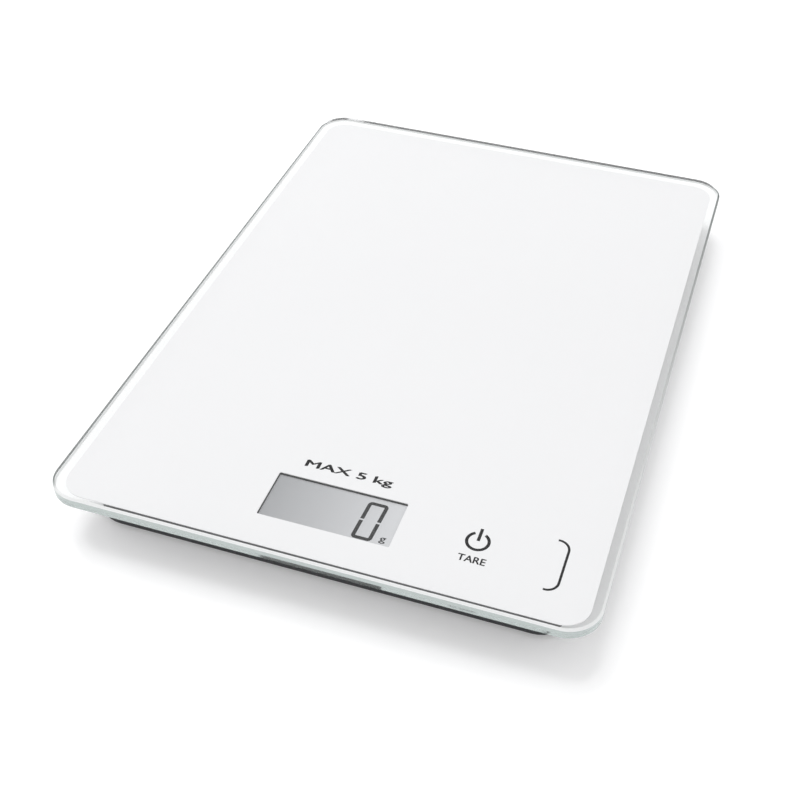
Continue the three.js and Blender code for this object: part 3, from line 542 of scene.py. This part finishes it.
# ---- printed film, fused to the underside of the glass

printedFilm = {
    "bond": 0.02 * mm,  # the print's white face stands this far into the glass
    "cornerRadius": 7.5 * mm,
    "windowWidth": 39.2 * mm,
    "windowLength": 17 * mm,
    "windowCorner": 0.4 * mm,
    "windowCentreY": -90.3 * mm,
}
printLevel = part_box("glass_plate")[0].z + printedFilm["bond"]


def outlineRing(bm, low, high, radius, steps):
    # the closed ring of edges round a rounded rectangle
    face = slabBetween((low[0], low[1], 0), (high[0], high[1], 1), radius, steps)
    lower = [item for item in face.faces if item.normal.z < -0.5]
    others = [item for item in face.faces if item not in lower]
    bmesh.ops.delete(face, geom=others, context="FACES")
    bmesh.ops.delete(face, geom=lower, context="FACES_ONLY")
    joinedInto(bm, face)


def addPrintedFilm():
    low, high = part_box("decor_film")
    bm = bmesh.new()
    outlineRing(bm, low, high, printedFilm["cornerRadius"], 16)
    halfWidth, halfLength = printedFilm["windowWidth"] / 2, printedFilm["windowLength"] / 2
    centreY = printedFilm["windowCentreY"]
    outlineRing(bm, (-halfWidth, centreY - halfLength), (halfWidth, centreY + halfLength),
                printedFilm["windowCorner"], 3)
    bmesh.ops.triangle_fill(bm, use_beauty=True, edges=bm.edges)
    bmesh.ops.translate(bm, vec=(0, 0, low.z), verts=bm.verts)
    raised = bmesh.ops.extrude_face_region(bm, geom=bm.faces[:])["geom"]
    topVerts = [item for item in raised if isinstance(item, bmesh.types.BMVert)]
    bmesh.ops.translate(bm, vec=(0, 0, printLevel - low.z), verts=topVerts)
    bmesh.ops.recalc_face_normals(bm, faces=bm.faces)
    pieceFrom(bm, "printedFilm", finishes["whitePrint"], "housing", ["decor_film"])


addPrintedFilm()
print("glass and print made")


# ---- marks printed on the film

marks = {
    "thickness": 0.03 * mm,
    "keyCentre": (42.0 * mm, -88.9 * mm),
    "ringRadius": 3.1 * mm,  # to the middle of the stroke
    "ringGap": 56,  # degrees left open at the top
    "keyStroke": 0.9 * mm,
    "barFrom": 0.2 * mm,
    "barTo": 4.8 * mm,
    "word": "TARE",
    "wordSize": (7.8 * mm, 2.3 * mm),
    "wordCentre": (42.1 * mm, -95.7 * mm),
    "boldness": 0.15 * mm,  # the letters are printed twice, this far apart
    "capacityBoldness": 0.34 * mm,
    "capacity": "MAX 5 kg",
    "capacitySize": (26.5 * mm, 3.5 * mm),
    "capacityCentre": (-0.7 * mm, -76.3 * mm),
    "bracketStart": (62.9 * mm, -81.3 * mm),
    "bracketStroke": 0.7 * mm,
    "bracketTurn": 3.2 * mm,
    "bracketRun": 11.6 * mm,
    "bracketFoot": 0.4 * mm,
}


def addMarks():
    low, high = printLevel, printLevel + marks["thickness"]
    x, y = marks["keyCentre"]
    gap = math.radians(marks["ringGap"] / 2)
    start = (x + marks["ringRadius"] * math.sin(gap), y + marks["ringRadius"] * math.cos(gap))
    symbol = strokeAlong(start, -gap, marks["keyStroke"], low, high,
                         [("turn", marks["ringRadius"], 2 * gap - 2 * math.pi)])
    joinedInto(symbol, strokeAlong((x, y + marks["barFrom"]), math.pi / 2, marks["keyStroke"], low, high,
                                   [("run", marks["barTo"] - marks["barFrom"])]))
    pieceFrom(symbol, "keySymbol", finishes["blackInk"], "housing")
    word = textMesh(marks["word"], *marks["wordSize"], marks["wordCentre"], low, high, marks["boldness"])
    pieceFrom(word, "keyWord", finishes["blackInk"], "housing")
    capacity = textMesh(marks["capacity"], *marks["capacitySize"], marks["capacityCentre"], low, high,
                        marks["capacityBoldness"])
    pieceFrom(capacity, "capacityMark", finishes["blackInk"], "housing")
    turn = ("turn", marks["bracketTurn"], -math.pi / 2)
    bracket = strokeAlong(marks["bracketStart"], 0, marks["bracketStroke"], low, high,
                          [("run", marks["bracketFoot"]), turn, ("run", marks["bracketRun"]), turn,
                           ("run", marks["bracketFoot"])])
    pieceFrom(bracket, "keyBracket", finishes["blackInk"], "housing")


addMarks()


# ---- display: two glasses, a grey polariser, a nought and its unit letter

display = {
    "ledge": 3.2 * mm,
    "sheet": 1.25 * mm,
    "polariser": 0.1 * mm,
    "corner": 0.3 * mm,
    "sheetInset": 0.5 * mm,
    "ink": 0.01 * mm,
    "digitCentre": (11.3 * mm, -90.9 * mm),
    "digitWidth": 6.1 * mm,
    "digitHeight": 14.3 * mm,
    "digitStroke": 1.12 * mm,
    "digitBend": 0.75 * mm,
    "digitLean": 0.05,
    "digitGap": 0.3 * mm,  # from the middle of the digit to the end of each half
    "unitSize": (1.7 * mm, 2.2 * mm),
    "unitCentre": (16.8 * mm, -96.6 * mm),
}


def addDisplay():
    low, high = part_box("display_cell")
    glassTop = high.z - display["polariser"]
    corner, inset = display["corner"], display["sheetInset"]
    cell = slabBetween(low, (high.x, high.y - display["ledge"], low.z + display["sheet"]), corner, 2)
    joinedInto(cell, slabBetween((low.x, low.y, low.z + display["sheet"]), (high.x, high.y, glassTop),
                                 corner, 2))
    pieceFrom(cell, "displayCell", finishes["displayGlass"], "housing", ["display_cell"])
    sheet = slabBetween((low.x + inset, low.y + inset, glassTop),
                        (high.x - inset, high.y - inset, high.z - display["ink"]), corner, 2)
    pieceFrom(sheet, "displayPolariser", finishes["displayFacePaintedReflection"], "housing", ())
    inkLow, inkHigh = high.z - display["ink"], high.z
    stroke, gap = display["digitStroke"], display["digitGap"]
    halfWide = (display["digitWidth"] - stroke) / 2
    halfTall = (display["digitHeight"] - stroke) / 2
    bend = display["digitBend"]
    digit = bmesh.new()
    for up in (-1, 1):
        # each half of the nought runs from its left gap round to its right gap
        side = ("run", halfTall - gap - bend)
        corner = ("turn", bend, -up * math.pi / 2)
        joinedInto(digit, strokeAlong((-halfWide, up * gap), up * math.pi / 2, stroke, inkLow, inkHigh,
                                      [side, corner, ("run", 2 * (halfWide - bend)), corner, side]))
    for vert in digit.verts:
        vert.co.x += display["digitLean"] * vert.co.y
    bmesh.ops.translate(digit, vec=(*display["digitCentre"], 0), verts=digit.verts)
    pieceFrom(digit, "displayDigit", finishes["displayInk"], "housing")
    unit = textMesh("g", *display["unitSize"], display["unitCentre"], inkLow, inkHigh,
                    marks["boldness"])
    pieceFrom(unit, "displayUnit", finishes["displayInk"], "housing")


addDisplay()


# ---- painted shadow: dark strips along the back and left edges of the display window, standing in for the shade the window's edge casts into its recess

windowPaintedShadow = {"rear": 0.3 * mm, "left": 0.15 * mm, "overhang": 0.2 * mm}


def addWindowPaintedShadow():
    low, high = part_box("display_gasket")
    halfWidth, halfLength = printedFilm["windowWidth"] / 2, printedFilm["windowLength"] / 2
    rear = printedFilm["windowCentreY"] + halfLength
    over = windowPaintedShadow["overhang"]
    lip = slabBetween((-halfWidth, rear - windowPaintedShadow["rear"], low.z), (halfWidth, rear + over, high.z), 0)
    joinedInto(lip, slabBetween((-halfWidth - over, rear - printedFilm["windowLength"], low.z),
                                (-halfWidth + windowPaintedShadow["left"], rear + over, high.z), 0))
    # these black strips paint the shadow inside the window's back and left edges
    pieceFrom(lip, "windowPaintedShadow", finishes["displayInk"], "housing")


addWindowPaintedShadow()
print("marks and display made")


# ---- cells: a printed sleeve with a copper band, and bare steel ends

cell = {
    "endRadius": 4.75 * mm,
    "round": 0.5 * mm,
    "nubRadius": 1.8 * mm,
    "nubHeight": 0.9 * mm,
    "nubRound": 0.25 * mm,
    "band": 10.5 * mm,  # from the shoulder of the positive end
    "lip": 0.45 * mm,  # the sleeve folds this far over each end
    "fold": 0.15 * mm,
    "steps": 48,
}


def addCell(number):
    low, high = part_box("battery_" + str(number))
    centre = (low + high) / 2
    radius, length = (high.z - low.z) / 2, high.x - low.x
    shoulder = length - cell["nubHeight"]
    top, rise, fold = cell["endRadius"], cell["round"], cell["fold"]
    lip = top - cell["lip"]
    nub, small = cell["nubRadius"], cell["nubRound"]
    profile = [(0, 0), (lip, 0), (top, 0), (radius - fold, fold), (radius, rise),
               (radius, shoulder - cell["band"]), (radius, shoulder - rise),
               (radius - fold, shoulder - fold), (top, shoulder), (lip, shoulder),
               (nub, shoulder), (nub, length - small), (nub - small, length), (0, length)]
    bm = turnedAbout((0, 0), profile, cell["steps"])
    for face in bm.faces:
        middle = face.calc_center_median()
        reach = math.hypot(middle.x, middle.y)
        if reach < lip:
            face.material_index = 1
        elif middle.z > shoulder - cell["band"]:
            face.material_index = 2
    # the positive end points to the side on which the box reaches further out
    towards = 1 if high.x > -low.x else -1
    bmesh.ops.rotate(bm, cent=(0, 0, 0), verts=bm.verts,
                     matrix=Matrix.Rotation(towards * math.pi / 2, 3, "Y"))
    start = low.x if towards > 0 else high.x
    bmesh.ops.translate(bm, vec=(start, centre.y, centre.z), verts=bm.verts)
    piece = pieceFrom(bm, "cell_" + str(number), finishes["cellSleeve"], "housing",
                      ["battery_" + str(number)])
    piece.data.materials.append(finishes["springSteel"])
    piece.data.materials.append(finishes["cellBand"])


for number in (1, 2, 3):
    addCell(number)
print("cells made")


# ---- feet and their rubber pads

foot = {
    "skirtRadius": 11.0 * mm,
    "seatRadius": 8.7 * mm,
    "seatDepth": 1.2 * mm,
    "flangeRise": 3.45 * mm,  # rim to the flange
    "flangeThickness": 0.8 * mm,
    "plungerRadius": 3.0 * mm,
    "soften": 0.35 * mm,
    "padRibs": (3.0 * mm, 5.2 * mm, 7.0 * mm),  # the pad stands on these rings
    "ribHalfWidth": 0.6 * mm,
    "grooveDepth": 0.35 * mm,
    "padSoften": 0.2 * mm,
}


def addFoot(corner):
    low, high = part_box("foot_" + corner)
    centre = (low + high) / 2
    rim, flange = low.z, low.z + foot["flangeRise"]
    seat = rim + foot["seatDepth"]
    flangeTop, flangeRadius = flange + foot["flangeThickness"], high.x - centre.x
    profile = [(0, seat), (foot["seatRadius"], seat), (foot["seatRadius"], rim),
               (foot["skirtRadius"], rim), (foot["skirtRadius"], flange), (flangeRadius, flange),
               (flangeRadius, flangeTop), (foot["plungerRadius"], flangeTop),
               (foot["plungerRadius"], high.z), (0, high.z)]
    bm = turnedAbout(centre, profile)
    softenCorners(bm, foot["soften"], 60, 3)
    pieceFrom(bm, "footRing_" + corner, finishes["darkPlastic"], "foot_" + corner, ["foot_" + corner])
    low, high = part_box("foot_pad_" + corner)
    radius = high.x - centre.x
    grooveFloor, half = low.z + foot["grooveDepth"], foot["ribHalfWidth"]
    profile = [(0, grooveFloor)]
    for rib in foot["padRibs"]:
        profile += [(rib - half, grooveFloor), (rib - half, low.z), (rib + half, low.z),
                    (rib + half, grooveFloor)]
    profile += [(radius - foot["padSoften"], grooveFloor), (radius, grooveFloor), (radius, high.z),
                (0, high.z)]
    bm = turnedAbout(centre, profile)
    pieceFrom(bm, "footSole_" + corner, finishes["rubberPad"], "foot_" + corner, ["foot_pad_" + corner])


for corner in ("front_left", "front_right", "rear_left", "rear_right"):
    addFoot(corner)


# ---- unit button, with a dished cap, and the word printed beside it

unitButton = {
    "capRadius": 3.8 * mm,
    "dish": 0.35 * mm,
    "dishSteps": 5,
    "steps": 48,
    "flange": 0.6 * mm,
    "soften": 0.2 * mm,
    "word": "UNIT",
    "wordSize": (8.0 * mm, 2.2 * mm),
    "wordFromCap": 8.4 * mm,
    "wordRelief": 0.05 * mm,
    "wordSunk": 0.01 * mm,  # into the shell, so that no gap shows under the ink
}


def addUnitButton():
    low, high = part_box("unit_button")
    centre = (low + high) / 2
    radius = unitButton["capRadius"]
    dishing = [(radius * step / unitButton["dishSteps"],
                low.z + unitButton["dish"] * (1 - (step / unitButton["dishSteps"]) ** 2))
               for step in range(unitButton["dishSteps"] + 1)]
    flangeRadius = high.x - centre.x
    flangeBottom = high.z - unitButton["flange"]
    profile = dishing + [(radius, flangeBottom), (flangeRadius, flangeBottom), (flangeRadius, high.z),
                         (0, high.z)]
    bm = turnedAbout(centre, profile, unitButton["steps"])
    softenCorners(bm, unitButton["soften"], 60, 2)
    pieceFrom(bm, "unitCap", finishes["buttonPlastic"], "unit_button", ["unit_button"])
    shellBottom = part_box("lower_shell")[0].z
    word = textMesh(unitButton["word"], *unitButton["wordSize"], (0, 0), -unitButton["wordRelief"], 0,
                    marks["boldness"])
    bmesh.ops.rotate(word, cent=(0, 0, 0), matrix=Matrix.Rotation(math.pi, 3, "Y"), verts=word.verts)
    wordLevel = shellBottom - unitButton["wordRelief"] + unitButton["wordSunk"]
    bmesh.ops.translate(word, vec=(centre.x - unitButton["wordFromCap"], centre.y, wordLevel),
                        verts=word.verts)
    pieceFrom(word, "unitWord", finishes["paleInk"], "housing")


addUnitButton()
print("feet and button made")


# ---- finishes of the carried-over pieces

cadFinishes = {
    "adhesive_sheet": "foamTape", "display_gasket": "foamTape", "carrier_plate": "darkPlastic",
    "lower_shell": "darkPlastic", "battery_door": "darkPlastic", "load_cell": "sensorSteel",
    "load_cell_retainer": "whitePlastic", "contact_": "springSteel",
    "battery_lead_positive": "redWire", "battery_lead_negative": "blackWire",
    "sensor_cable": "greyCable", "circuit_board": "boardMask", "controller_chip": "pottingResin",
    "tact_switch": "blackWire", "tact_stem": "whitePlastic", "display_holder": "whitePlastic",
    "zebra_strip": "rubberPad", "touch_electrode": "copperFoil", "touch_spring": "springSteel",
    "housing_screw": "springSteel", "board_screw": "springSteel",
}
mouldedEdges = {"lower_shell": 0.3 * mm, "battery_door": 0.2 * mm, "carrier_plate": 0.2 * mm}
mouldJoin = 0.001 * mm  # points this close are one
mouldSharp = 40  # degrees: edges that turn by more are softened


def roundMouldedEdges():
    # the mouldings' sharp edges are softened, as a mould leaves them
    for name, width in mouldedEdges.items():
        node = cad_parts[name]
        weld = node.modifiers.new("joinFaces", "WELD")
        weld.merge_threshold = mouldJoin
        soften = node.modifiers.new("softEdges", "BEVEL")
        soften.width = width
        soften.segments = 2
        soften.limit_method = "ANGLE"
        soften.angle_limit = math.radians(mouldSharp)
        soften.harden_normals = False


roundMouldedEdges()


def finishCadNodes():
    # the longest name that a node starts with gives its finish
    for name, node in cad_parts.items():
        matches = [start for start in cadFinishes if name.startswith(start)]
        if not matches:
            continue
        node.data.materials.clear()
        node.data.materials.append(finishes[cadFinishes[max(matches, key=len)]])


finishCadNodes()
print("carried-over pieces finished")
